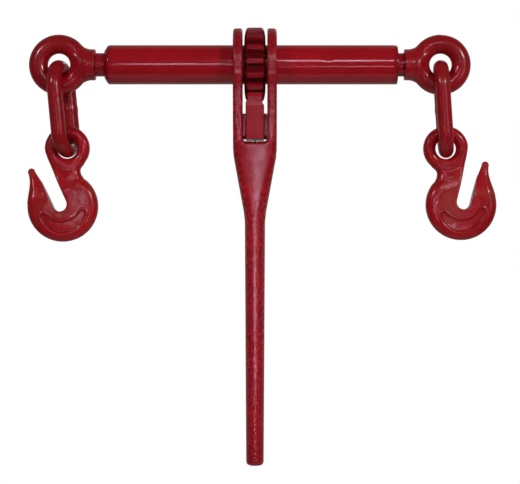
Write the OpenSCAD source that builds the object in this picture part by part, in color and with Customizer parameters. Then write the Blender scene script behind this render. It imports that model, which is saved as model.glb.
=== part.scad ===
// Ratchet load binder with a connecting link and a grab hook at each end.
// Frame: X runs along the barrel, Z is up and the handle hangs along -Z.
// The origin is the centre of the ratchet gear, on the barrel's axis.

/* [Barrel] */
// Outside diameter of the barrel tube
barrel_d = 34; // [32:0.5:36]
// Barrel length to the left of the gear's middle
barrel_left = 130.5; // [125:0.5:134]
// Barrel length to the right of the gear's middle
barrel_right = 123.5; // [118:0.5:127]
// Length of the threaded mouth at each end
thread_zone = 18.5; // [12:0.5:18.5]
// Length of the swaged nose on the left end
nose_l = 3.4; // [2:0.1:5]
// Radial depth of the swaged nose
nose_in = 4.8; // [1:0.1:4.8]

/* [Screws] */
// Major diameter of the eyebolt threads
thread_d = 22; // [21:0.5:22]
// Diameter of the neck between thread and collar
neck_d = 20.3; // [18:0.1:21]
// Diameter of the collar at the eye
collar_d = 27; // [25:0.5:28]
// Distance from the eye's centre to the inner end of the screw
bolt_l = 164.2; // [160:0.1:164.2]

/* [Eyes and links] */
// Left eye's distance from the gear's middle
left_eye = 170.2; // [168:0.1:172]
// Right eye's distance from the gear's middle
right_eye = 161.3; // [160:0.1:163]
// Radius of the bar that forms the eye
eye_bar_r = 8.3; // [7.5:0.1:8.4]
// Radius of the eye's hole
eye_hole_r = 9.6; // [9.5:0.1:10]
// Diameter of the link wire
wire_d = 13; // [12:0.1:13]
// Distance between the middles of a link's legs
link_w = 34; // [33.8:0.1:36]
// Distance between the middles of a link's end bows
link_l = 72.2; // [68:0.1:74]
// Turn of the left link about its own length
left_twist = -14; // [-14:1:14]
// Turn of the right link about its own length
right_twist = -4; // [-14:1:14]
// Sideways lean of the left link
left_lean = 5.4; // [-6:0.1:6]
// Sideways lean of the right link
right_lean = 3.7; // [-6:0.1:6]

/* [Hooks] */
// Radius of the hook's body
hook_r = 31; // [30:0.5:31]
// Radius of the hook's eye
hook_eye_r = 19.5; // [19:0.1:20]
// Radius of the hole in the hook's eye
hook_hole_r = 8.9; // [8.8:0.1:9.2]
// Width of the hook's throat
throat_w = 12.8; // [12:0.1:12.8]
// Thickness of the hook's body
hook_t = 18; // [16:0.5:18]
// Thickness of the hook's eye
hook_eye_t = 12; // [11:0.5:12]
// Outward tilt of the left hook
left_tilt = 4; // [-10:0.1:15]
// Outward tilt of the right hook
right_tilt = 14.9; // [-10:0.1:15]

/* [Gear and handle] */
// Number of teeth on the ratchet gear
teeth = 16; // [16:16:16]
// Radius to the tips of the teeth
tip_r = 32.3; // [31:0.1:32.3]
// Radius to the roots of the teeth
root_r = 27.5; // [26:0.1:27.5]
// Width of the gear
gear_w = 18.4; // [16:0.1:18.4]
// Width of the fork across its cheeks
fork_w = 37.8; // [36.8:0.2:38.8]
// Width of the slot between the cheeks
slot_w = 21.6; // [21.4:0.1:22]
// Radius of the fork's rings
ring_r = 31.5; // [30:0.1:32]
// Distance from the barrel's axis to the handle's tip
handle_l = 348; // [320:1:360]

/* [Pawl] */
// Distance from the barrel's axis to the pawl's pin
pawl_drop = 48; // [48:1:48]
// Radius of the pawl's pin
pin_r = 4; // [3:0.5:4]
// Turn of the pawl from neutral to full engagement
pawl_flip = 7.9; // [7.9:0.1:7.9]
// Width of the pawl
pawl_w = 16; // [14:0.1:17]
// Width of the pawl's hub between the cheeks
hub_w = 21; // [18:0.1:21]
// Width of the pawl's noses
nose_w = 13; // [12:0.1:14]

/* [Hidden] */
$fn = 96;
paint = [0.55, 0.05, 0.07];
steel = [0.55, 0.56, 0.58];
eps = 0.01;

// Running clearance of turned fits, and the looser gaps above and below a link's wire
fit = 0.1;
eye_gap = 0.7;
hook_gap = 0.8;

// Barrel bores
thread_r = thread_d / 2;
relief_r = 13;
mouth_bevel = 0.8;

// Inner end of each screw: a spigot that carries the stop ring, and its peened head
spigot_r = 8;
head_r = 9.5;
head_l = 1.5;
ring_gap = 0.2;
stop_l = 4;
stop_r = relief_r - 0.4;
spigot_l = head_l + stop_l + 2 * ring_gap;

// Eyebolt lengths, from the eye's centre
collar_out = 23.2;
collar_in = 31.6;
neck_end = 40.1;
shoulder_out = 12;
shoulder_r = 8;
eye_mean_r = eye_hole_r + eye_bar_r;

// Link place: the wire rests just clear of the eye below it
wire_r = wire_d / 2;
link_top = eye_mean_r - eye_bar_r - wire_r - eye_gap;
link_bottom = link_top + link_l;
bow_r = link_w / 2;

// Hook place and shape, from the centre of its eye, with the wire low in the hole
hook_rise = hook_hole_r - wire_r - hook_gap;
hook_centre = [0.3, -50.6];
hook_round = 5;
throat_r = throat_w / 2;
throat_tilt = 28.5;
throat_mid = [2.9, -48.8];
throat_up = 60;
tip_mid = [29.7, -22.4];
horn_tip_r = 3.1;
waist_r = 8;

// Gear
tooth_step = 360 / teeth;
tip_half = 3.6;
root_half = 4.2;
rim_bevel_w = 2;
rim_bevel_r = 5;
dowel_r = 2.5;
dowel_in = 13.6;
dowel_top = root_r - 0.6;
dowel_valleys = [0, 5, 10];

// Handle stations, from the barrel's axis, and the raised pad round the plunger
slot_floor = 69;
pad_l = 2.3;
pad_half = 4.5;
fork_end = 79;
shank_start = 132;
shank_w = 17.7;
shank_d = 21;
tip_w = 15.4;
tip_d = 16;
shank_round = 5;
tip_slab = 3;
cheek_depth = 22;

// Plunger and spring in the handle's blind hole
plunger_r = 4;
plunger_tip_r = 0.9;
plunger_gap = 0.3;
plunger_end = 82;
well_end = 100;
spring_wire_r = 0.6;
spring_r = 3;
spring_turns = 6;
dimple_r = 1.2;

// Pawl outline: height of its foot below the pin, and the size of its hub
foot_drop = 17.5;
hub_r = 17;
hub_half = 9;
hub_top = 5;

// A cylinder or cone along X, from x0 to x1
module along_x(x0, x1, r0, r1 = -1) {
    translate([x0, 0, 0])
        rotate([0, 90, 0])
            cylinder(h = x1 - x0, r1 = r0, r2 = r1 < 0 ? r0 : r1);
}

// A flat outline given in (Y, Z), swept along X from x0 to x1
module sweep_x(x0, x1) {
    translate([x0, 0, 0])
        rotate([90, 0, 90])
            linear_extrude(x1 - x0)
                children();
}

// A flat outline given in (X, Z), swept along Y and centred on it
module sweep_y(t) {
    translate([0, t / 2, 0])
        rotate([90, 0, 0])
            linear_extrude(t)
                children();
}

// A rectangle with true round corners
module round_rect(w, h, r) {
    square([w - 2 * r, h], center = true);
    square([w, h - 2 * r], center = true);
    for (sx = [-1, 1], sy = [-1, 1])
        translate([sx * (w / 2 - r), sy * (h / 2 - r)])
            circle(r);
}

// A ring whose axis is Y, with its section drawn by the child
module ring_y(angle = 360) {
    rotate([90, 0, 0])
        rotate_extrude(angle = angle)
            children();
}

// Barrel: one tube with a swaged nose on the left and a threaded mouth at each end
module barrel_tube() {
    color(paint)
        difference() {
            union() {
                along_x(nose_l - barrel_left, barrel_right, barrel_d / 2);
                along_x(-barrel_left, nose_l - barrel_left, barrel_d / 2 - nose_in, barrel_d / 2);
            }
            along_x(-barrel_left - 1, barrel_right + 1, thread_r + fit);
            along_x(thread_zone - barrel_left, barrel_right - thread_zone, relief_r);
            along_x(barrel_right - mouth_bevel, barrel_right + eps, thread_r + fit, thread_r + fit + mouth_bevel);
            dowel_holes();
        }
}

// Radial holes for the dowels that lock the gear to the barrel
module dowel_holes() {
    for (k = dowel_valleys)
        rotate([(k + 0.5) * tooth_step, 0, 0])
            rotate([-90, 0, 0])
                translate([0, 0, dowel_in])
                    cylinder(h = tip_r - dowel_in, r = dowel_r);
}

function polar(r, a) = [r * cos(a), r * sin(a)];

// Tooth outline: straight flanks between a tip flat and a root flat
module tooth_outline() {
    polygon([for (i = [0:teeth - 1]) each [
        polar(tip_r, i * tooth_step - tip_half),
        polar(tip_r, i * tooth_step + tip_half),
        polar(root_r, (i + 0.5) * tooth_step - root_half),
        polar(root_r, (i + 0.5) * tooth_step + root_half)]]);
}

// Ratchet gear: toothed ring with a bevelled rim, bored to the barrel
module ratchet_gear() {
    color(paint)
        difference() {
            intersection() {
                sweep_x(-gear_w / 2, gear_w / 2)
                    tooth_outline();
                rotate([0, 90, 0])
                    rotate_extrude()
                        polygon([
                            [0, -gear_w / 2],
                            [tip_r - rim_bevel_r, -gear_w / 2],
                            [tip_r + eps, rim_bevel_w - gear_w / 2],
                            [tip_r + eps, gear_w / 2 - rim_bevel_w],
                            [tip_r - rim_bevel_r, gear_w / 2],
                            [0, gear_w / 2]]);
            }
            along_x(-gear_w, gear_w, barrel_d / 2);
            dowel_holes();
        }
}

// Dowels pressed through three tooth gaps into the barrel's wall
module gear_dowels() {
    color(steel)
        for (k = dowel_valleys)
            rotate([(k + 0.5) * tooth_step, 0, 0])
                rotate([-90, 0, 0])
                    translate([0, 0, dowel_in])
                        cylinder(h = dowel_top - dowel_in, r = dowel_r);
}

// A thin slab of the handle's section at a given depth below the barrel
module handle_slab(drop, w, d) {
    translate([0, 0, -drop])
        linear_extrude(eps)
            round_rect(w, d, shank_round, $fn = 32);
}

// Handle: forked head with two rings, tapering to a long straight shank
module handle() {
    color(paint)
        difference() {
            union() {
                along_x(-fork_w / 2, fork_w / 2, ring_r);
                sweep_x(-fork_w / 2, fork_w / 2)
                    polygon([
                        [-ring_r * cos(20), -ring_r * sin(20)],
                        [-cheek_depth, -pawl_drop],
                        [-cheek_depth + 4, -fork_end],
                        [cheek_depth - 4, -fork_end],
                        [cheek_depth, -pawl_drop],
                        [ring_r * cos(20), -ring_r * sin(20)]]);
                hull() {
                    handle_slab(fork_end, fork_w, 2 * cheek_depth - 8);
                    handle_slab(shank_start, shank_w, shank_d);
                }
                hull() {
                    handle_slab(shank_start, shank_w, shank_d);
                    handle_slab(handle_l - tip_slab, tip_w, tip_d);
                    handle_slab(handle_l, tip_w - tip_slab, tip_d - tip_slab);
                }
            }
            along_x(-fork_w, fork_w, barrel_d / 2 + fit);
            difference() {
                translate([-slot_w / 2, -2 * ring_r, -slot_floor])
                    cube([slot_w, 4 * ring_r, slot_floor + 2 * ring_r]);
                translate([-slot_w, -pad_half, -slot_floor - 1])
                    cube([2 * slot_w, 2 * pad_half, pad_l + 1]);
            }
            translate([0, 0, -pawl_drop])
                along_x(-fork_w, fork_w, pin_r);
            translate([0, 0, -well_end])
                cylinder(h = well_end - slot_floor + pad_l + 1, r = plunger_r + fit / 2);
        }
}

// Outline of one half of the pawl, drawn fully engaged, from the pin's centre
module pawl_half() {
    polygon([
        [17.2, 24.9],
        [15.1, 23.4],
        [14.9, 19.4],
        [13.4, 17.4],
        [0, 12.2],
        [0, -5],
        [14, -5],
        [18.6, 14.9],
        [19.2, 22]]);
}

// Pawl: a rocking block with a nose on each side of the gear, a flat foot and a wide hub
module pawl() {
    color(paint)
        difference() {
            translate([0, 0, -pawl_drop]) {
                for (side = [0, 1])
                    mirror([0, side, 0])
                        sweep_x(-nose_w / 2, nose_w / 2)
                            rotate(-pawl_flip)
                                pawl_half();
                sweep_x(-pawl_w / 2, pawl_w / 2)
                    polygon([
                        [-14.5, -foot_drop],
                        [-21.5, 12],
                        [-19.8, 14.5],
                        [19.8, 14.5],
                        [21.5, 12],
                        [14.5, -foot_drop]]);
                sweep_x(-hub_w / 2, hub_w / 2)
                    intersection() {
                        circle(hub_r);
                        translate([-hub_half, -hub_r])
                            square([2 * hub_half, hub_r + hub_top]);
                    }
            }
            translate([0, 0, -pawl_drop])
                along_x(-hub_w, hub_w, pin_r + fit / 2);
            for (k = [-1:1])
                translate([0, k * foot_drop * tan(pawl_flip), -pawl_drop - foot_drop - 0.1])
                    sphere(dimple_r);
        }
}

// Pin that carries the pawl, pressed flush into both cheeks
module pawl_pin() {
    color(steel)
        translate([0, 0, -pawl_drop])
            along_x(0.2 - fork_w / 2, fork_w / 2 - 0.2, pin_r);
}

// Spring-loaded plunger with a pointed nose that clicks into the pawl's foot
module plunger() {
    tip_z = -pawl_drop - foot_drop - plunger_gap;
    cone_h = plunger_r - plunger_tip_r;
    color(steel)
        rotate_extrude()
            difference() {
                union() {
                    translate([0, tip_z - plunger_tip_r])
                        circle(plunger_tip_r);
                    polygon([
                        [0, -plunger_end],
                        [plunger_r, -plunger_end],
                        [plunger_r, tip_z - cone_h - plunger_tip_r],
                        [plunger_tip_r, tip_z - plunger_tip_r],
                        [0, tip_z - plunger_tip_r]]);
                }
                translate([-2 * plunger_r, -2 * plunger_end])
                    square([2 * plunger_r, 2 * plunger_end]);
            }
}

// A closed tube of side points round each point of a path
module tube_along(path, r, sides) {
    n = len(path);
    rings = [for (i = [0:n - 1])
        let (t = path[min(i + 1, n - 1)] - path[max(i - 1, 0)],
            out = [path[i][0], path[i][1], 0] / norm([path[i][0], path[i][1]]),
            up = cross(t, out) / norm(cross(t, out)))
        for (k = [0:sides - 1])
            path[i] + r * (cos(360 * k / sides) * out + sin(360 * k / sides) * up)];
    walls = [for (i = [0:n - 2], k = [0:sides - 1])
        let (k1 = (k + 1) % sides)
        each [
            [i * sides + k, (i + 1) * sides + k, (i + 1) * sides + k1],
            [i * sides + k, (i + 1) * sides + k1, i * sides + k1]]];
    first = [for (k = [0:sides - 1]) k];
    last = [for (k = [sides - 1:-1:0]) (n - 1) * sides + k];
    polyhedron(rings, concat([first], walls, [last]));
}

// Coil spring under the plunger
module plunger_spring() {
    steps = 14;
    bottom = -well_end + spring_wire_r;
    top = -plunger_end - spring_wire_r;
    color(steel)
        tube_along([for (i = [0:steps * spring_turns])
            [spring_r * cos(360 * i / steps), spring_r * sin(360 * i / steps),
                bottom + (top - bottom) * i / (steps * spring_turns)]], spring_wire_r, 8);
}

// Eyebolt with its eye at the origin and its screw along -X
module eyebolt() {
    inner = -bolt_l;
    ring_y()
        translate([eye_mean_r, 0])
            circle(eye_bar_r);
    along_x(-collar_out, -shoulder_out, collar_d / 2, shoulder_r);
    along_x(-collar_in, -collar_out, collar_d / 2);
    along_x(-neck_end, -collar_in, neck_d / 2);
    along_x(inner + spigot_l, -neck_end, thread_r);
    along_x(inner + head_l, inner + spigot_l, spigot_r);
    along_x(inner, inner + head_l, head_r - 0.8, head_r);
}

// The same, with the rounded hole of the eye kept clear of the shoulder
module bored_eyebolt() {
    difference() {
        eyebolt();
        ring_y()
            difference() {
                translate([0, -2 * eye_bar_r])
                    square([eye_mean_r, 4 * eye_bar_r]);
                translate([eye_mean_r, 0])
                    circle(eye_bar_r);
            }
    }
}

module left_eyebolt() {
    color(paint)
        translate([-left_eye, 0, 0])
            mirror([1, 0, 0])
                bored_eyebolt();
}

module right_eyebolt() {
    color(paint)
        translate([right_eye, 0, 0])
            bored_eyebolt();
}

// Loose ring on the screw's spigot that stops the screw from leaving the barrel
module stop_ring(inner_x, side) {
    a = inner_x + side * (head_l + ring_gap);
    b = a + side * stop_l;
    color(steel)
        difference() {
            along_x(min(a, b), max(a, b), stop_r);
            along_x(min(a, b) - 1, max(a, b) + 1, spigot_r + fit / 2);
        }
}

module left_stop_ring() {
    stop_ring(bolt_l - left_eye, -1);
}

module right_stop_ring() {
    stop_ring(right_eye - bolt_l, 1);
}

// Oval link hanging from an eye at the origin
module link() {
    straight = link_l - link_w;
    for (side = [-1, 1])
        translate([0, side * bow_r, -link_bottom + bow_r])
            cylinder(h = straight, r = wire_r);
    translate([0, 0, -link_top - bow_r])
        rotate([0, 0, 90])
            rotate([90, 0, 0])
                rotate_extrude(angle = 180)
                    translate([bow_r, 0])
                        circle(wire_r);
    translate([0, 0, -link_bottom + bow_r])
        rotate([0, 0, 90])
            rotate([-90, 0, 0])
                rotate_extrude(angle = 180)
                    translate([bow_r, 0])
                        circle(wire_r);
}

module left_link() {
    color(paint)
        translate([-left_eye, 0, 0])
            rotate([0, -left_lean, 0])
                rotate([0, 0, left_twist])
                    link();
}

module right_link() {
    color(paint)
        translate([right_eye, 0, 0])
            rotate([0, -right_lean, 0])
                rotate([0, 0, right_twist])
                    link();
}

// Centre of a circle of radius r that touches the eye and the body from outside, on the back
function fillet_mid(r) =
    let (d = norm(hook_centre),
        a = (pow(hook_eye_r + r, 2) - pow(hook_r + r, 2) + d * d) / (2 * d),
        h = sqrt(pow(hook_eye_r + r, 2) - a * a),
        down = hook_centre / d)
    a * down + h * [down[1], -down[0]];

// Neck of the hook, from its eye down into its body, hollowed at the waist
module hook_neck() {
    waist = fillet_mid(waist_r);
    difference() {
        polygon([
            [0, 0],
            hook_eye_r * [cos(throat_tilt), -sin(throat_tilt)],
            throat_mid,
            hook_centre,
            waist]);
        translate(waist)
            circle(waist_r);
    }
}

// Horn that closes the throat, drawn out to a rounded tip that leans outward
module horn() {
    polygon([
        throat_mid + [0, -10],
        throat_mid,
        [24, -25],
        [26.7, -21.6],
        tip_mid + [-horn_tip_r * cos(45), horn_tip_r * sin(45)],
        tip_mid,
        tip_mid + [horn_tip_r, -0.5],
        [31.3, -27.5],
        [30.6, -31.5],
        [30.6, -37],
        [31.2, -44],
        [31.3, -50.6]]);
    translate(tip_mid)
        circle(horn_tip_r);
}

// Grab hook hanging from the origin, with its horn on the +X side
module hook() {
    difference() {
        union() {
            ring_y()
                translate([(hook_hole_r + hook_eye_r) / 2, 0])
                    round_rect(hook_eye_r - hook_hole_r, hook_eye_t, hook_round);
            difference() {
                union() {
                    sweep_y(hook_t)
                        hook_neck();
                    sweep_y(hook_t)
                        translate(hook_centre)
                            circle(hook_r);
                    sweep_y(hook_t)
                        horn();
                }
                rotate([90, 0, 0])
                    cylinder(h = 2 * hook_t, r = (hook_hole_r + hook_eye_r) / 2, center = true);
            }
        }
        translate([throat_mid[0], 0, throat_mid[1]])
            rotate([0, throat_tilt, 0]) {
                rotate([90, 0, 0])
                    cylinder(h = 2 * hook_t, r = throat_r, center = true);
                translate([-throat_r, -hook_t, 0])
                    cube([throat_w, 2 * hook_t, throat_up]);
            }
    }
}

module left_hook() {
    color(paint)
        translate([-left_eye, 0, 0])
            rotate([0, -left_lean, 0])
                translate([0, 0, -link_bottom])
                    rotate([0, left_lean + left_tilt, 0])
                        translate([0, 0, hook_rise])
                            mirror([1, 0, 0])
                                hook();
}

module right_hook() {
    color(paint)
        translate([right_eye, 0, 0])
            rotate([0, -right_lean, 0])
                translate([0, 0, -link_bottom])
                    rotate([0, right_lean - right_tilt, 0])
                        translate([0, 0, hook_rise])
                            hook();
}

barrel_tube();
ratchet_gear();
gear_dowels();
handle();
pawl();
pawl_pin();
plunger();
plunger_spring();
left_eyebolt();
right_eyebolt();
left_stop_ring();
right_stop_ring();
left_link();
right_link();
left_hook();
right_hook();
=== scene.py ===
import math

import bpy
import numpy as np
from mathutils import Matrix, Vector


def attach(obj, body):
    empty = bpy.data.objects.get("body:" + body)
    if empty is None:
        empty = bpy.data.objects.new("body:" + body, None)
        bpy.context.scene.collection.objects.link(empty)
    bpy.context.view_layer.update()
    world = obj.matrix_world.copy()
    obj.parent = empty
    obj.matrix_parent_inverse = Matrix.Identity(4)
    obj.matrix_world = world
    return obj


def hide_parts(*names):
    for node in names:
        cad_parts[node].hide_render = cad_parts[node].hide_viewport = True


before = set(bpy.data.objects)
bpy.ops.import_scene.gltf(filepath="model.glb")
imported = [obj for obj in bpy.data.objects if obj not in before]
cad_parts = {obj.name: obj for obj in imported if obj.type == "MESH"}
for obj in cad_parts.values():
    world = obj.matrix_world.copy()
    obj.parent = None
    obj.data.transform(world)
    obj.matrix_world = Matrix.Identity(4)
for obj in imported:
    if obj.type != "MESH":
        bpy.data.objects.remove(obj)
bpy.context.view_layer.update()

MM = 0.001

# ---- Sizes in mm, the same as the CAD model's ----
BARREL_R = 17.0
BARREL_LEFT, BARREL_RIGHT = -130.5, 123.5
NOSE_L, NOSE_IN = 3.4, 4.8
THREAD_ZONE, BORE_R, RELIEF_R = 18.5, 11.1, 13.0

LEFT_EYE, RIGHT_EYE = -170.2, 161.3
EYE_MEAN_R, EYE_BAR_R = 17.9, 8.3
NECK_END, BOLT_L = 40.1, 164.2
THREAD_R, THREAD_ROOT_R, PITCH = 11.0, 9.3, 5.0
SPIGOT_R, SPIGOT_L, HEAD_R, HEAD_L = 8.0, 5.9, 9.5, 1.5

WIRE_R, BOW_R = 6.5, 17.0
LINK_TOP, LINK_BOTTOM = 2.4, 74.6
LEFT_TWIST, RIGHT_TWIST = -14.0, -4.0
LEFT_LEAN, RIGHT_LEAN = 5.4, 3.7

HOOK_R, HOOK_EYE_R, HOOK_HOLE_R, HOOK_RISE = 31.0, 19.5, 8.9, 1.6
HOOK_CENTRE, THROAT_MID, THROAT_TILT, THROAT_R = (0.3, -50.6), (2.9, -48.8), 28.5, 6.4
WAIST_MID, WAIST_R = (-20.9, -17.9), 8.0
HOOK_HALF, HOOK_EYE_HALF, HORN_HALF = 9.0, 6.0, 3.6
TIP_MID, HORN_TIP_R = (29.7, -22.4), 3.1
LEFT_TILT, RIGHT_TILT = 4.0, 14.9

TEETH, GEAR_HALF, RIM_HALF, TIP_R = 16, 9.2, 7.2, 32.3
BEVEL_SLOPE, DOWEL_R, DOWEL_VALLEYS = math.radians(21.8), 2.5, (0, 5, 10)
FORK_HALF, SLOT_HALF, SLOT_FLOOR, RING_R = 18.9, 10.8, 69.0, 31.5
PAD_L, PAD_HALF, HANDLE_L, CROWN = 2.3, 5.0, 348.0, 2.4
WELL_R, WELL_START, WELL_END = 4.05, 60.0, 100.0
# Half widths of the handle, and the rounding of its edges, at drops below the barrel's axis
HANDLE_HALF = {0: FORK_HALF, 74: FORK_HALF, 81: 18.3, 128: 9.7, 137: 8.8, 348: 7.7}
HANDLE_EDGE = {50: 2.5, 80: 6.5, 131: 8.2, 347: 7.2}
# The side outline of the handle's front half, from below its end up to its rings
HANDLE_SIDE = [(8, -380), (10.5, -132), (17.9, -79), (22, -48), (29.6, -10.8)]

PAWL_DROP, PAWL_FLIP, PIN_R = 48.0, 7.9, 4.0
NOSE_HALF, PAWL_HALF, HUB_HALF, HUB_R, HUB_DEEP, HUB_TOP = 6.5, 8.0, 10.65, 17.0, 9.0, 5.0
FOOT_DROP, FOOT_HALF, DIMPLE_R, PAWL_CORNER = 17.5, 14.5, 1.25, 19.5


# ---- Distance functions ----
def circle(a, b, mid, r):
    """Distance to a circle in the (a, b) plane."""
    return np.hypot(a - mid[0], b - mid[1]) - r


def polygon(a, b, points):
    """Signed distance to a closed polygon in the (a, b) plane."""
    nearest = np.full(a.shape, 1e9)
    inside = np.zeros(a.shape, bool)
    for i, (x1, y1) in enumerate(points):
        x0, y0 = points[i - 1]
        ex, ey = x1 - x0, y1 - y0
        t = np.clip(((a - x0) * ex + (b - y0) * ey) / (ex * ex + ey * ey), 0, 1)
        nearest = np.minimum(nearest, (a - x0 - t * ex) ** 2 + (b - y0 - t * ey) ** 2)
        crosses = (y0 <= b) != (y1 <= b)
        side = ex * (b - y0) - (a - x0) * ey
        inside ^= crosses & ((side > 0) == (ey > 0))
    return np.where(inside, -1, 1) * np.sqrt(nearest)


def join(a, b, k):
    """Union of two solids, blended over k."""
    h = np.maximum(k - np.abs(a - b), 0) / k
    return np.minimum(a, b) - h * h * k / 4


def meet(a, b, k):
    """What two solids share, with the edge between them rounded over k."""
    return -join(-a, -b, k)


def cut(a, b, k):
    """Solid a without solid b, with the edge between them rounded over k."""
    return -join(-a, b, k)


def plate(outline, across, half, r):
    """An outline made half thick to each side, with its edges rounded to r."""
    u = outline + r
    v = np.abs(across) - half + r
    return np.minimum(np.maximum(u, v), 0) + np.hypot(np.maximum(u, 0), np.maximum(v, 0)) - r


def ease(t):
    """Smooth step from 0 to 1."""
    t = np.clip(t, 0, 1)
    return t * t * (3 - 2 * t)


# ---- Meshing ----
def surface_net(field, low, high, step):
    """Quads on the surface where the field changes sign."""
    axes = [np.arange(a - step, b + 2 * step, step) for a, b in zip(low, high)]
    grid = field(*np.meshgrid(*axes, indexing="ij"))
    inside = grid < 0
    nx, ny, nz = grid.shape
    corners = [(i, j, k) for i in (0, 1) for j in (0, 1) for k in (0, 1)]
    count = sum(inside[i:nx - 1 + i, j:ny - 1 + j, k:nz - 1 + k].astype(int) for i, j, k in corners)
    active = (count > 0) & (count < 8)
    cells = np.argwhere(active)
    number = np.full(active.shape, -1)
    number[active] = np.arange(len(cells))
    place = np.zeros((len(cells), 3))
    weight = np.zeros(len(cells))
    for a in corners:
        for axis in range(3):
            if a[axis]:
                continue
            b = tuple(v + (i == axis) for i, v in enumerate(a))
            fa = grid[tuple((cells + a).T)]
            fb = grid[tuple((cells + b).T)]
            crosses = (fa < 0) != (fb < 0)
            t = fa[crosses] / (fa[crosses] - fb[crosses])
            place[crosses] += np.array(a) + t[:, None] * (np.array(b) - np.array(a))
            weight[crosses] += 1
    corner = np.array([a[0] for a in axes])
    verts = corner + (cells + place / weight[:, None]) * step
    quads = []
    for axis in range(3):
        u, v = [(1, 2), (2, 0), (0, 1)][axis]
        here = [slice(1, -1)] * 3
        here[axis] = slice(0, -1)
        ahead = list(here)
        ahead[axis] = slice(1, None)
        changes = inside[tuple(here)] != inside[tuple(ahead)]
        at = np.argwhere(changes) + [int(i != axis) for i in range(3)]
        outward = inside[tuple(at.T)]
        eu, ev = np.eye(3, dtype=int)[u], np.eye(3, dtype=int)[v]
        round_edge = ((1, 1), (0, 1), (0, 0), (1, 0))
        ring = np.stack([number[tuple((at - s * eu - t * ev).T)] for s, t in round_edge], 1)
        ring[~outward] = ring[~outward][:, ::-1]
        quads.append(ring)
    return verts, np.concatenate(quads)


def slope(field, p, e=0.02):
    """Direction in which the field grows, at each point."""
    g = np.empty_like(p)
    for i in range(3):
        d = np.zeros(3)
        d[i] = e
        g[:, i] = (field(*(p + d).T) - field(*(p - d).T)) / (2 * e)
    return g


def settle(field, p, rounds=4, limit=0.4):
    """Moves points on to the surface of the field."""
    for _ in range(rounds):
        g = slope(field, p)
        move = field(*p.T)[:, None] * g / np.maximum((g * g).sum(1), 0.2)[:, None]
        size = np.linalg.norm(move, axis=1)[:, None]
        p = p - move * np.minimum(1, limit / np.maximum(size, 1e-9))
    return p


def add_mesh(name, verts, faces, normals=None):
    """A smooth-shaded object from points in mm."""
    mesh = bpy.data.meshes.new(name)
    mesh.from_pydata((np.asarray(verts) * MM).tolist(), [], np.asarray(faces).tolist())
    mesh.validate()
    mesh.shade_smooth()
    if normals is not None:
        mesh.normals_split_custom_set_from_vertices(normals.tolist())
    piece = bpy.data.objects.new(name, mesh)
    bpy.context.scene.collection.objects.link(piece)
    return piece


def solid(name, field, low, high, step, place=None):
    """A forged piece: the field's surface, set down by a placing matrix."""
    verts, faces = surface_net(field, low, high, step)
    verts = settle(field, verts)
    normals = slope(field, verts)
    normals /= np.maximum(np.linalg.norm(normals, axis=1), 1e-9)[:, None]
    if place is not None:
        turn = np.array(place.to_3x3())
        verts = verts @ turn.T + np.array(place.translation)
        normals = normals @ turn.T
        if np.linalg.det(turn) < 0:
            faces = faces[:, ::-1]
    return add_mesh(name, verts, faces, normals)


def lathe(name, stations, radius, sides, place=None, closed=False):
    """A turned piece along X: radius gives each station's radius at each angle."""
    turn = np.linspace(0, 2 * math.pi, sides, endpoint=False)
    verts = []
    for i, x in enumerate(stations):
        r = radius(i, x, turn)
        verts.append(np.stack([np.full(sides, x), r * np.cos(turn), r * np.sin(turn)], 1))
    n = len(stations)
    verts = np.concatenate(verts)
    k = np.arange(sides)
    faces = []
    for i in range(n if closed else n - 1):
        a, b = i * sides, (i + 1) % n * sides
        faces.append(np.stack([a + k, b + k, b + (k + 1) % sides, a + (k + 1) % sides], 1))
    faces = np.concatenate(faces).tolist()
    if not closed:
        faces += [list(range(sides))[::-1], list(range((n - 1) * sides, n * sides))]
    if place is not None:
        turned = np.array(place.to_3x3())
        verts = verts @ turned.T + np.array(place.translation)
        if np.linalg.det(turned) < 0:
            faces = [f[::-1] for f in faces]
    mesh = bpy.data.meshes.new(name)
    mesh.from_pydata((verts * MM).tolist(), [], faces)
    mesh.validate()
    mesh.shade_smooth()
    mesh.set_sharp_from_angle(angle=math.radians(32))
    piece = bpy.data.objects.new(name, mesh)
    bpy.context.scene.collection.objects.link(piece)
    return piece


def fit(piece, node, body, finish):
    """The piece stands for a CAD node, rides on its body and takes a finish."""
    piece.data.materials.clear()
    piece.data.materials.append(finish)
    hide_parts(node)
    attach(piece, body)


# ---- Materials ----
def shader(name):
    """A new material with its node tree and principled shader."""
    mat = bpy.data.materials.new(name)
    mat.use_nodes = True
    tree = mat.node_tree
    return mat, tree, tree.nodes["Principled BSDF"]


def noise(tree, where, scale, detail=3.0, rough=0.5):
    """Noise value at a scale given in cycles per metre."""
    n = tree.nodes.new("ShaderNodeTexNoise")
    n.inputs["Scale"].default_value = scale
    n.inputs["Detail"].default_value = detail
    n.inputs["Roughness"].default_value = rough
    tree.links.new(where, n.inputs["Vector"])
    return n.outputs["Fac"]


def spread(tree, value, low, high, to_low=0.0, to_high=1.0):
    """The value from low..high mapped to another range."""
    n = tree.nodes.new("ShaderNodeMapRange")
    n.inputs["From Min"].default_value = low
    n.inputs["From Max"].default_value = high
    n.inputs["To Min"].default_value = to_low
    n.inputs["To Max"].default_value = to_high
    tree.links.new(value, n.inputs["Value"])
    return n.outputs["Result"]


def blend(tree, factor, a, b):
    """Colour a where the factor is 0 and b where it is 1. Each is a colour or a socket."""
    n = tree.nodes.new("ShaderNodeMix")
    n.data_type = "RGBA"
    tree.links.new(factor, n.inputs["Factor"])
    for end, colour in (("A", a), ("B", b)):
        socket = next(s for s in n.inputs if s.name == end and s.type == "RGBA")
        if isinstance(colour, tuple):
            socket.default_value = colour + (1.0,)
        else:
            tree.links.new(colour, socket)
    return next(s for s in n.outputs if s.type == "RGBA")


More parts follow.
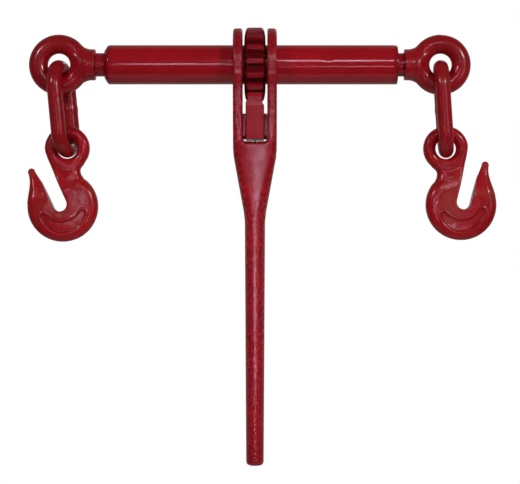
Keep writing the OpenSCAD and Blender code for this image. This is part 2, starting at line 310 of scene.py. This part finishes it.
def times(tree, a, b):
    """Product of two values. Each is a number or a socket."""
    n = tree.nodes.new("ShaderNodeMath")
    n.operation = "MULTIPLY"
    for i, v in enumerate((a, b)):
        if isinstance(v, float):
            n.inputs[i].default_value = v
        else:
            tree.links.new(v, n.inputs[i])
    return n.outputs["Value"]


def bump(tree, height, depth, strength, under=None):
    """A bump of the given depth in metres, on top of another."""
    n = tree.nodes.new("ShaderNodeBump")
    n.inputs["Strength"].default_value = strength
    n.inputs["Distance"].default_value = depth
    tree.links.new(height, n.inputs["Height"])
    if under is not None:
        tree.links.new(under, n.inputs["Normal"])
    return n.outputs["Normal"]


def deep(tree, where, root_r):
    """1 near the roots of the gear's teeth and 0 at their tips: the mask of the painted shade there."""
    split = tree.nodes.new("ShaderNodeSeparateXYZ")
    tree.links.new(where, split.inputs["Vector"])
    flat = tree.nodes.new("ShaderNodeCombineXYZ")
    tree.links.new(split.outputs["Y"], flat.inputs["Y"])
    tree.links.new(split.outputs["Z"], flat.inputs["Z"])
    size = tree.nodes.new("ShaderNodeVectorMath")
    size.operation = "LENGTH"
    tree.links.new(flat.outputs["Vector"], size.inputs[0])
    return spread(tree, size.outputs["Value"], (root_r + 3.4) * MM, (root_r + 0.6) * MM)


def paint(name, base, dark, wear=0.3, rough=(0.16, 0.26), lumps=0.0003, pores=0.00005, dents=95.0,
          cover=0.65, gloss=0.5, root_r=None):
    """Glossy paint over forged steel: painted shade in the hollows, thinner paint on edges, uneven gloss,
    and for a gear painted shade at the roots of its teeth.
    """
    mat, tree, bsdf = shader(name)
    where = tree.nodes.new("ShaderNodeTexCoord").outputs["Object"]
    broad = noise(tree, where, 28.0, 4.0, 0.6)
    fine = noise(tree, where, 260.0, 4.0, 0.6)
    colour = blend(tree, spread(tree, broad, 0.35, 0.65), dark, base)
    geo = tree.nodes.new("ShaderNodeNewGeometry")
    # Painted shade: concave hollows (low pointiness) darken towards a deep red.
    hollow_shade = spread(tree, geo.outputs["Pointiness"], 0.5, 0.44)
    colour = blend(tree, hollow_shade, colour, tuple(0.35 * c for c in dark))
    edge = spread(tree, geo.outputs["Pointiness"], 0.51, 0.6)
    patch = spread(tree, noise(tree, where, 75.0, 5.0, 0.65), 0.52, 0.68)
    colour = blend(tree, times(tree, edge, patch), colour, WORN)
    stain = spread(tree, noise(tree, where, 42.0, 6.0, 0.7), cover - 0.09, cover + 0.09, 0.0, wear)
    colour = blend(tree, stain, colour, WORN)
    bsdf.inputs["Specular IOR Level"].default_value = gloss
    if root_r is not None:
        # Painted shade at the roots of the gear's teeth: darker colour and a weaker reflection there.
        root_shade = deep(tree, where, root_r)
        colour = blend(tree, root_shade, colour, tuple(0.4 * c for c in dark))
        tree.links.new(spread(tree, root_shade, 0.0, 1.0, 0.5, 0.06), bsdf.inputs["Specular IOR Level"])
    tree.links.new(colour, bsdf.inputs["Base Color"])
    tree.links.new(spread(tree, fine, 0.3, 0.7, *rough), bsdf.inputs["Roughness"])
    swell = bump(tree, noise(tree, where, dents, 3.0, 0.5), lumps, 0.9)
    skin = bump(tree, noise(tree, where, 620.0, 3.0, 0.6), pores, 0.8, swell)
    tree.links.new(skin, bsdf.inputs["Normal"])
    return mat


def steel(name, base, rough=(0.28, 0.5)):
    """Bare oiled steel with darker smears."""
    mat, tree, bsdf = shader(name)
    bsdf.inputs["Metallic"].default_value = 1.0
    where = tree.nodes.new("ShaderNodeTexCoord").outputs["Object"]
    smear = spread(tree, noise(tree, where, 110.0, 5.0, 0.65), 0.4, 0.7)
    colour = blend(tree, smear, base, tuple(0.4 * c for c in base))
    tree.links.new(colour, bsdf.inputs["Base Color"])
    tree.links.new(spread(tree, noise(tree, where, 300.0), 0.3, 0.7, *rough), bsdf.inputs["Roughness"])
    grain = bump(tree, noise(tree, where, 900.0, 2.0), 0.00005, 0.6)
    tree.links.new(grain, bsdf.inputs["Normal"])
    return mat


# ---- Barrel and gear ----
def barrel():
    """The barrel tube, with its swaged nose, square right end and a dent in the paint."""
    left, right = BARREL_LEFT, BARREL_RIGHT
    nose_r = BARREL_R - NOSE_IN
    outer = [(left, nose_r - 0.4), (left + 0.3, nose_r + 0.4), (left + NOSE_L - 0.5, BARREL_R - 0.6),
             (left + NOSE_L + 0.4, BARREL_R - 0.1), (left + NOSE_L + 1.4, BARREL_R)]
    outer += [(x, BARREL_R) for x in np.arange(left + 8, right - 3, 1.5)]
    outer += [(right - 0.8, BARREL_R), (right - 0.2, BARREL_R - 0.25), (right, BARREL_R - 0.7)]
    inner = [(right, BORE_R + 0.8), (right - 0.8, BORE_R), (right - THREAD_ZONE, BORE_R),
             (right - THREAD_ZONE - 0.1, RELIEF_R), (left + THREAD_ZONE + 0.1, RELIEF_R),
             (left + THREAD_ZONE, BORE_R), (left, BORE_R)]
    rows = outer + inner
    dent_x, dent_angle = 63.0, math.radians(166)

    def radius(i, x, turn):
        r = np.full(turn.shape, rows[i][1])
        if i < len(outer):
            away = np.angle(np.exp(1j * (turn - dent_angle)))
            r = r - 0.3 * np.exp(-((x - dent_x) / 2.6) ** 2 - (away / 0.2) ** 2)
        return r

    return lathe("barrel_tube_skin", [x for x, _ in rows], radius, 192, closed=True)


def gear_field(x, y, z):
    """Sixteen round-edged teeth with a bevelled rim, bored for the barrel."""
    step = 2 * math.pi / TEETH
    out = np.hypot(y, z)
    turn = np.mod(np.arctan2(z, y) + step / 2, step) - step / 2
    u, v = out * np.cos(turn), np.abs(out * np.sin(turn))
    tooth = [(0, -10), (31.62, -10), (31.62, 1.57), (26.77, 2.89), (25.53, 9.14), (0, 9.14)]
    f = polygon(u, v, tooth) - 0.6
    f = meet(f, np.abs(x) - GEAR_HALF, 2.0)
    bevel = (np.abs(x) - RIM_HALF) * math.cos(BEVEL_SLOPE) + (out - TIP_R) * math.sin(BEVEL_SLOPE)
    f = meet(f, bevel, 2.4)
    f = np.maximum(f, BARREL_R - 0.6 - out)
    for valley in DOWEL_VALLEYS:
        a = (valley + 0.5) * step
        along = y * math.cos(a) + z * math.sin(a)
        off = np.hypot(x, z * math.cos(a) - y * math.sin(a)) - DOWEL_R
        f = np.where(along > 0, cut(f, off, 0.5), f)
    return f


# ---- Handle and pawl ----
def handle_field(x, y, z):
    """Forked head with two rings round the barrel, drawn down to a convex shank."""
    drop = -z
    width = np.interp(drop, list(HANDLE_HALF), list(HANDLE_HALF.values()))
    edge = np.interp(drop, list(HANDLE_EDGE), list(HANDLE_EDGE.values()))
    side = [(-a, b) for a, b in reversed(HANDLE_SIDE)] + HANDLE_SIDE
    outline = join(polygon(y, z, side), circle(y, z, (0, 0), RING_R), 4)
    crown = CROWN * ease((drop - 66) / 10) * (x / width) ** 2
    f = plate(outline + crown, x, width, edge)
    f = meet(f, drop - HANDLE_L, 4)
    floor = SLOT_FLOOR - PAD_L * ease(PAD_HALF - np.abs(y))
    slot = meet(np.abs(x) - SLOT_HALF, drop - floor, 4)
    f = cut(f, slot, 2.0)
    f = cut(f, np.hypot(y, z) - BARREL_R - 0.15, 1.2)
    f = cut(f, circle(y, z, (0, -PAWL_DROP), PIN_R), 0.4)
    well = np.maximum(np.hypot(x, y) - WELL_R, np.maximum(drop - WELL_END, WELL_START - drop))
    return cut(f, well, 0.5)


def turned(points, degrees):
    """Points of an outline turned about its origin."""
    c, s = math.cos(math.radians(degrees)), math.sin(math.radians(degrees))
    return [(c * a - s * b, s * a + c * b) for a, b in points]


def pawl_field(x, y, z):
    """Rocking block with two noses, a wide hub, a chamfered corner and a dimpled flat foot."""
    up = z + PAWL_DROP
    nose = [(17.2, 24.9), (15.1, 23.4), (14.9, 19.4), (13.4, 17.4), (0, 12.2), (0, -5), (14, -5),
            (18.6, 14.9), (19.2, 22)]
    nose = turned(nose, -PAWL_FLIP)
    noses = np.minimum(polygon(y, up, nose), polygon(-y, up, nose))
    f = plate(noses, x, NOSE_HALF, 0.9)
    front = [(21, 14.9), (21.5, 11.4), (FOOT_HALF, -FOOT_DROP)]
    block = polygon(y, up, [(-a, b) for a, b in reversed(front)] + front)
    body = plate(block, x, PAWL_HALF, 1.2)
    body = meet(body, (x + up - PAWL_CORNER) / math.sqrt(2), 1.0)
    hub = np.maximum(np.hypot(y, up) - HUB_R, np.maximum(np.abs(y) - HUB_DEEP, up - HUB_TOP))
    body = np.minimum(body, plate(hub, x, HUB_HALF, 0.4))
    f = join(f, body, 1.0)
    seat = FOOT_DROP * math.tan(math.radians(PAWL_FLIP))
    for row in (-seat, 0, seat):
        f = cut(f, np.sqrt(x * x + (y - row) ** 2 + (up + FOOT_DROP) ** 2) - DIMPLE_R, 0.2)
    return cut(f, circle(y, up, (0, 0), PIN_R + 0.05), 0.4)


# ---- Eyebolts ----
def eye_field(x, y, z):
    """The eye with its shoulder, collar and neck, the screw lying along -X."""
    ring = np.hypot(np.hypot(x, z) - EYE_MEAN_R, y) - EYE_BAR_R
    out = np.hypot(y, z)
    profile = [(-39.6, -5), (-39.6, 9.35), (-30.8, 9.35), (-30.8, 12.7), (-24, 12.7), (-12.6, 7.3),
               (-12.6, -5)]
    stem = polygon(x, out, profile) - 0.8
    stem = meet(stem, 17.2 - np.hypot(x, z), 2)
    return join(ring, stem, 5.0)


def screw(name, place):
    """The threaded shank with its spigot and peened head, along -X from the eye."""
    rows = [-NECK_END + 0.3, -NECK_END - 0.6]
    start, end = -NECK_END - 1.2, SPIGOT_L - BOLT_L + 0.8
    count = int((start - end) / (PITCH / 12))
    rows += np.linspace(start, end, count).tolist()
    plain = [(SPIGOT_L - BOLT_L, 9.2), (SPIGOT_L - BOLT_L, SPIGOT_R), (HEAD_L - BOLT_L, SPIGOT_R),
             (HEAD_L - BOLT_L, HEAD_R), (0.4 - BOLT_L, HEAD_R), (-BOLT_L, HEAD_R - 0.8)]
    plain_from = len(rows)
    rows += [x for x, _ in plain]

    def radius(i, x, turn):
        if i >= plain_from:
            return np.full(turn.shape, plain[i - plain_from][1])
        if i < 2:
            return np.full(turn.shape, 9.9)
        phase = np.mod(x / PITCH - turn / (2 * math.pi), 1)
        crest = np.clip(2.2 - 7 * np.abs(phase - 0.5), 0, 1)
        return THREAD_ROOT_R + (THREAD_R - THREAD_ROOT_R) * ease(crest)

    return lathe(name, rows[::-1], lambda i, x, turn: radius(len(rows) - 1 - i, x, turn), 72, place)


# ---- Links and hooks ----
def link_field(x, y, z):
    """Oval of round wire hanging from the origin, with a weld on its back leg."""
    high, low = -LINK_TOP - BOW_R, -LINK_BOTTOM + BOW_R
    oval = np.hypot(y, z - np.clip(z, low, high)) - BOW_R
    weld_z = (high + low) / 2
    bulge = 0.35 * np.exp(-((z - weld_z) / 2.4) ** 2) * (y > 0)
    return np.hypot(x, oval) - WIRE_R - bulge


def panel(x, z):
    """Depth of the plain crescent panel sunk in each face of the hook's body."""
    across, up = x - HOOK_CENTRE[0], z - HOOK_CENTRE[1]
    turn = np.degrees(np.arctan2(up, across))
    along = np.clip((turn + 100) / 66, -1, 1)
    middle = np.radians(-100 + 66 * along)
    from_middle = np.hypot(across - 18.3 * np.cos(middle), up - 18.3 * np.sin(middle))
    inward = 5.4 - 2.4 * along ** 2 - from_middle
    return 1.0 * ease(inward / 1.2) - 0.5 * np.exp(-((inward + 0.9) / 0.9) ** 2)


def hook_field(x, y, z):
    """Grab hook hanging from the origin, with its horn on the +X side."""
    out = np.hypot(x, z)
    tilt = math.radians(THROAT_TILT)
    neck = [(0, 0), (17.14, -9.3), THROAT_MID, HOOK_CENTRE, WAIST_MID]
    horn = [(2.9, -58.8), THROAT_MID, (24, -25), (26.7, -21.6), (27.5, -20.2), TIP_MID, (32.8, -22.9),
            (31.3, -27.5), (30.6, -31.5), (30.6, -37), (31.2, -44), (31.3, -50.6)]
    outline = join(polygon(x, z, neck), circle(x, z, HOOK_CENTRE, HOOK_R - 0.2), 0.8)
    outline = join(outline, join(polygon(x, z, horn), circle(x, z, TIP_MID, HORN_TIP_R), 1.0), 0.8)
    outline = cut(outline, circle(x, z, WAIST_MID, WAIST_R), 1.5)
    mid_r = (HOOK_HOLE_R + HOOK_EYE_R) / 2
    outline = np.maximum(outline + 0.15, mid_r - out)
    half = HOOK_EYE_HALF + (HOOK_HALF - HOOK_EYE_HALF) * ease((-z - 12) / 24)
    horn_half = HORN_HALF + (HOOK_HALF - HORN_HALF) * ease((-z - 21) / 28)
    half = half + (horn_half - half) * ease((x - 8) / 12) * (z > -52)
    dome = 1.1 * ease(-outline / 15)
    f = plate(outline, y, half - 1.1 + dome - panel(x, z), np.minimum(7.0, 0.85 * half) - 0.6)
    eye = plate(np.abs(out - mid_r) - (HOOK_EYE_R - HOOK_HOLE_R) / 2, y, HOOK_EYE_HALF, 5)
    f = join(f, eye, 3.0)
    rise = (x - THROAT_MID[0]) * math.sin(tilt) + (z - THROAT_MID[1]) * math.cos(tilt)
    aside = (x - THROAT_MID[0]) * math.cos(tilt) - (z - THROAT_MID[1]) * math.sin(tilt)
    slot = np.hypot(aside, np.minimum(rise, 0)) - THROAT_R
    return cut(f, slot, 2.2)


def turn_y(degrees):
    return Matrix.Rotation(math.radians(degrees), 4, "Y")


def turn_z(degrees):
    return Matrix.Rotation(math.radians(degrees), 4, "Z")


def shift(x, y, z):
    return Matrix.Translation((x, y, z))


MIRROR = Matrix.Diagonal((-1, 1, 1, 1))


# ---- Camera, light and floor, in metres ----
CAMERA_AT, SENSOR, LENS = (0.0044, -1.4, -0.154), 36.0, 111.5


def add_camera():
    """Level, in front of the binder, along +Y."""
    data = bpy.data.cameras.new("camera")
    data.sensor_width = SENSOR
    data.lens = LENS
    data.dof.use_dof = False
    cam = bpy.data.objects.new("camera", data)
    cam.location = CAMERA_AT
    cam.rotation_euler = (math.radians(90), 0, 0)
    bpy.context.scene.collection.objects.link(cam)
    bpy.context.scene.camera = cam


def add_light(name, where, aim, width, height, power, tint=(1.0, 1.0, 1.0), beam=180):
    """A rectangular studio lamp turned towards a point, its beam narrowed to an angle in degrees."""
    data = bpy.data.lights.new(name, "AREA")
    data.shape = "RECTANGLE"
    data.size, data.size_y = width, height
    data.energy = power
    data.color = tint
    data.spread = math.radians(beam)
    lamp = bpy.data.objects.new(name, data)
    lamp.location = where
    lamp.rotation_euler = (Vector(aim) - Vector(where)).to_track_quat("-Z", "Y").to_euler()
    bpy.context.scene.collection.objects.link(lamp)


def add_world():
    """White backdrop to the eye, pale light from behind the object and little from the front."""
    world = bpy.data.worlds.new("studio")
    bpy.context.scene.world = world
    world.use_nodes = True
    tree = world.node_tree
    back = tree.nodes["Background"]
    split = tree.nodes.new("ShaderNodeSeparateXYZ")
    tree.links.new(tree.nodes.new("ShaderNodeTexCoord").outputs["Generated"], split.inputs["Vector"])
    glow = spread(tree, split.outputs["Y"], 0.1, 0.95, 0.06, 0.35)
    seen = tree.nodes.new("ShaderNodeMix")
    tree.links.new(tree.nodes.new("ShaderNodeLightPath").outputs["Is Camera Ray"], seen.inputs["Factor"])
    tree.links.new(glow, seen.inputs["A"])
    seen.inputs["B"].default_value = 1.0
    back.inputs["Color"].default_value = (1, 1, 1, 1)
    tree.links.new(seen.outputs["Result"], back.inputs["Strength"])


def add_floor():
    """A sheet below the object, pale to the camera without lighting the object more."""
    wide, deep, drop = 0.5, 0.28, -0.55
    mesh = bpy.data.meshes.new("floor")
    mesh.from_pydata([(-wide, -deep, drop), (wide, -deep, drop), (wide, deep, drop), (-wide, deep, drop)],
                     [], [(0, 1, 2, 3)])
    mat, tree, bsdf = shader("pale_floor")
    bsdf.inputs["Base Color"].default_value = (0.86, 0.86, 0.86, 1)
    bsdf.inputs["Roughness"].default_value = 0.8
    bsdf.inputs["Emission Color"].default_value = (1, 1, 1, 1)
    seen = tree.nodes.new("ShaderNodeLightPath").outputs["Is Camera Ray"]
    tree.links.new(times(tree, seen, 0.55), bsdf.inputs["Emission Strength"])
    mesh.materials.append(mat)
    floor = bpy.data.objects.new("floor", mesh)
    bpy.context.scene.collection.objects.link(floor)


add_camera()
bpy.context.scene.view_settings.view_transform = "Standard"
add_world()
add_floor()
PINK, LILAC = (1.0, 0.74, 0.92), (0.8, 0.75, 1.0)
add_light("key", (0.14, -1.45, 0.46), (0.0, 0.0, -0.05), 0.24, 0.10, 1.6, PINK)
add_light("shank_line", (-0.14, -1.4, -0.14), (0.0, 0.0, -0.24), 0.16, 0.30, 0.06, LILAC, beam=20)
add_light("neck_glow", (0.16, -1.3, -0.40), (0.0, 0.0, -0.17), 0.22, 0.12, 0.034, LILAC, beam=16)
add_light("right_hook_glow", (0.31, -1.3, -0.10), (0.17, 0.0, -0.11), 0.08, 0.06, 0.0003, LILAC, beam=10)
add_light("left_hook_glow", (-0.32, -1.3, -0.03), (-0.16, 0.0, -0.09), 0.08, 0.06, 0.0001, LILAC, beam=10)
add_light("right_box", (0.95, -1.1, -0.10), (0.0, 0.0, -0.12), 0.30, 0.24, 0.8, PINK)
add_light("left_side", (-0.95, -1.1, 0.55), (0.0, 0.0, -0.1), 0.12, 0.12, 4.0)
add_light("right_side", (0.95, -1.1, 0.45), (0.0, 0.0, -0.1), 0.10, 0.10, 5.0)
add_light("behind", (0.5, 1.5, 0.9), (0.0, 0.0, -0.1), 0.3, 0.3, 1.0)

# ---- Finishes ----
WORN = (0.36, 0.075, 0.03)
barrel_red = paint("barrel_red", (0.58, 0.008, 0.018), (0.5, 0.007, 0.015), wear=0.05,
                   rough=(0.11, 0.17), lumps=0.00004, pores=0.00002)
forged_red = paint("forged_red", (0.54, 0.010, 0.02), (0.4, 0.008, 0.014), wear=0.25,
                   rough=(0.18, 0.28), lumps=0.0004)
# The gear's paint carries painted shade at the roots of its teeth, from root_r.
gear_red = paint("gear_red", (0.4, 0.009, 0.018), (0.3, 0.007, 0.013), wear=0.15,
                 rough=(0.16, 0.24), root_r=27.5)
handle_red = paint("handle_red", (0.48, 0.010, 0.019), (0.41, 0.009, 0.016), wear=0.1,
                   rough=(0.22, 0.32), lumps=0.0003, pores=0.00015, dents=210.0)
hook_red = paint("hook_red", (0.62, 0.012, 0.022), (0.48, 0.009, 0.015), wear=0.6,
                 rough=(0.15, 0.24), lumps=0.0004, pores=0.0001, dents=130.0, cover=0.6, gloss=0.35)
bare_steel = steel("bare_steel_oiled", (0.5, 0.49, 0.47))
screw_steel = steel("screw_steel", (0.36, 0.34, 0.32), (0.25, 0.4))

# ---- Pieces ----
fit(barrel(), "barrel_tube", "barrel", barrel_red)
gear = solid("ratchet_gear_forged", gear_field, (-9.5, -33, -33), (9.5, 33, 33), 0.5)
fit(gear, "ratchet_gear", "barrel", gear_red)
handle = solid("handle_forged", handle_field, (-19.2, -32, -349), (19.2, 32, 32), 0.9)
fit(handle, "handle", "handle", handle_red)
pawl = solid("pawl_forged", pawl_field, (-10.8, -23, -66), (10.8, 23, -21), 0.4)
fit(pawl, "pawl", "pawl", forged_red)

EYES = {
    "left": (shift(LEFT_EYE, 0, 0) @ MIRROR, LEFT_LEAN, LEFT_TWIST),
    "right": (shift(RIGHT_EYE, 0, 0), RIGHT_LEAN, RIGHT_TWIST),
}
HOOKS = {
    "left": turn_y(LEFT_LEAN + LEFT_TILT) @ shift(0, 0, HOOK_RISE) @ MIRROR,
    "right": turn_y(RIGHT_LEAN - RIGHT_TILT) @ shift(0, 0, HOOK_RISE),
}
for side, (eye_place, lean, twist) in EYES.items():
    head = solid(side + "_eyebolt_head", eye_field, (-41, -14, -27), (27, 14, 27), 0.6, eye_place)
    fit(head, side + "_eyebolt", side + "_eyebolt", forged_red)
    # The left placing matrix mirrors the screw, which makes its thread left-handed
    shank = screw(side + "_eyebolt_screw", eye_place)
    fit(shank, side + "_eyebolt", side + "_eyebolt", screw_steel)
    hang = shift(eye_place.translation.x, 0, 0) @ turn_y(-lean)
    link_place = hang @ turn_z(twist)
    oval = solid(side + "_link_forged", link_field, (-7.2, -24.2, -81.5), (7.2, 24.2, 4.5), 0.7, link_place)
    fit(oval, side + "_link", side + "_link", forged_red)
    grab_place = hang @ shift(0, 0, -LINK_BOTTOM) @ HOOKS[side]
    grab = solid(side + "_hook_forged", hook_field, (-32, -9.5, -82.5), (34, 9.5, 20), 0.7, grab_place)
    fit(grab, side + "_hook", side + "_hook", hook_red)

for node in ("gear_dowels", "pawl_pin", "plunger", "plunger_spring", "left_stop_ring", "right_stop_ring"):
    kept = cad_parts[node]
    kept.data.materials.clear()
    kept.data.materials.append(bare_steel)
